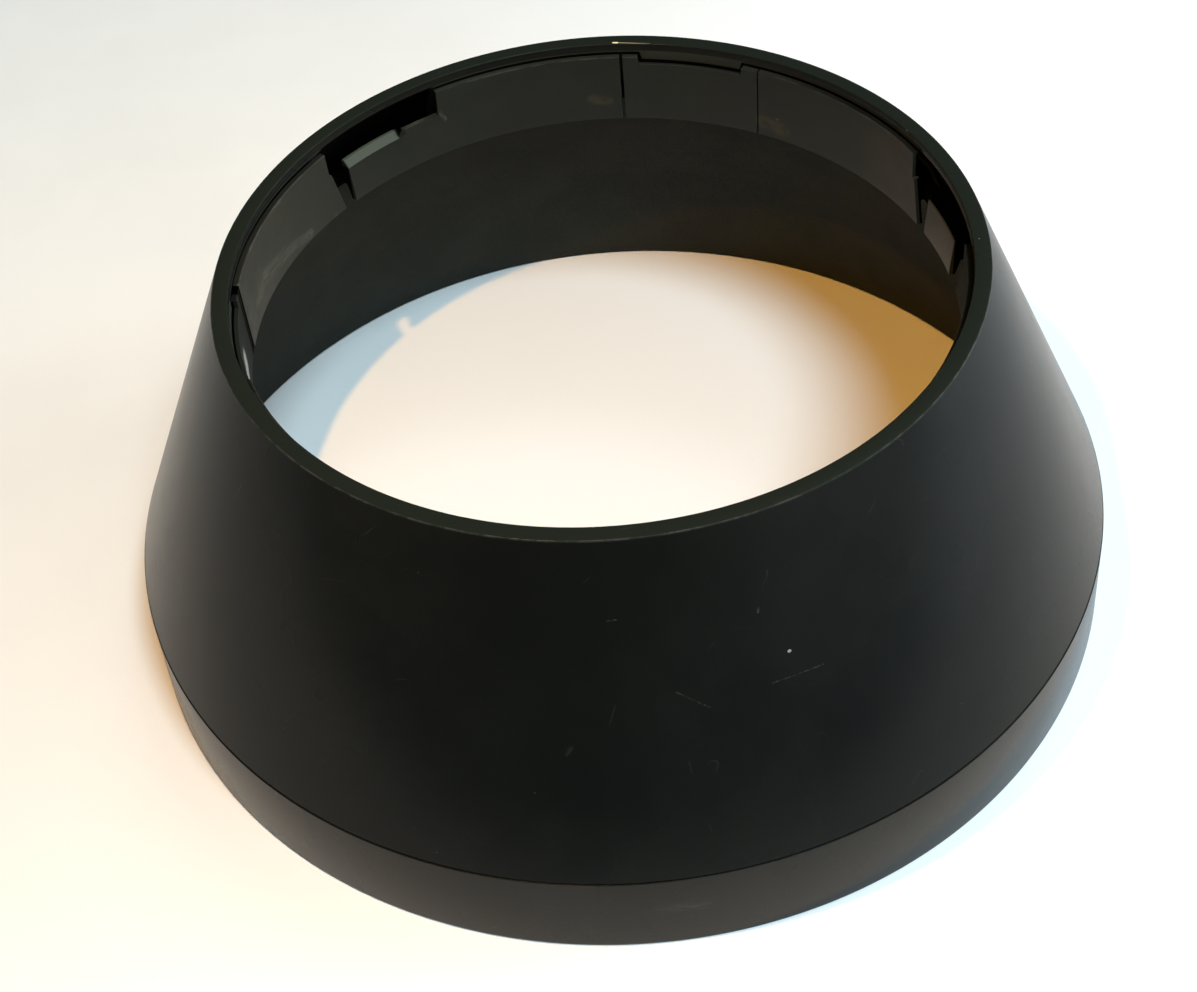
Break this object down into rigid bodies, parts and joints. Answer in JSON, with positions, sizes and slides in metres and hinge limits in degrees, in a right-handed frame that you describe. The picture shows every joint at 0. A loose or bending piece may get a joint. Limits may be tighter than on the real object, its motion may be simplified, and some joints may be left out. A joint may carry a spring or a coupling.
{
  "type": "lens hood",
  "caption": "Round conical lens hood with an internal bayonet collar, sprung detent tongues, a matt lined inner wall and a separate front ring",
  "frame": {"origin": "centre of the front ring's foot, on the surface the hood stands on", "axes": "+Z along the optical axis towards the lens end, +Y points to the back of the hood as it stands, +X to its right"},
  "size_m": [0.1184, 0.1184, 0.0468],
  "materials": {
    "shell_plastic": "fine satin moulding texture, black",
    "ring_plastic": "smooth satin, black",
    "bayonet_plastic": "smooth dark grey, rubbed",
    "lining_flock": "dull matt black"
  },
  "bodies": {
    "hood_body": {"cone_shell": "shell_plastic", "front_ring": "ring_plastic", "bayonet_ring": "bayonet_plastic", "inner_lining": "lining_flock"},
    "tongue_1": {"detent_tongue_1": "bayonet_plastic"},
    "tongue_2": {"detent_tongue_2": "bayonet_plastic"},
    "tongue_3": {"detent_tongue_3": "bayonet_plastic"}
  },
  "joints": [
    {"name": "tongue_1_flex", "type": "hinge", "parent": "hood_body", "child": "tongue_1", "pos_m": [0.01377, 0.03846, 0.0386], "axis": [-0.9415, 0.3371, 0], "range_deg": [0, 2.5], "stiffness_Nm_per_rad": 0.1},
    {"name": "tongue_2_flex", "type": "hinge", "parent": "hood_body", "child": "tongue_2", "pos_m": [-0.04019, -0.0073, 0.0386], "axis": [0.1788, -0.9839, 0], "range_deg": [0, 2.5], "stiffness_Nm_per_rad": 0.1},
    {"name": "tongue_3_flex", "type": "hinge", "parent": "hood_body", "child": "tongue_3", "pos_m": [0.02642, -0.03115, 0.0386], "axis": [0.7627, 0.6468, 0], "range_deg": [0, 2.5], "stiffness_Nm_per_rad": 0.1}
  ]
}
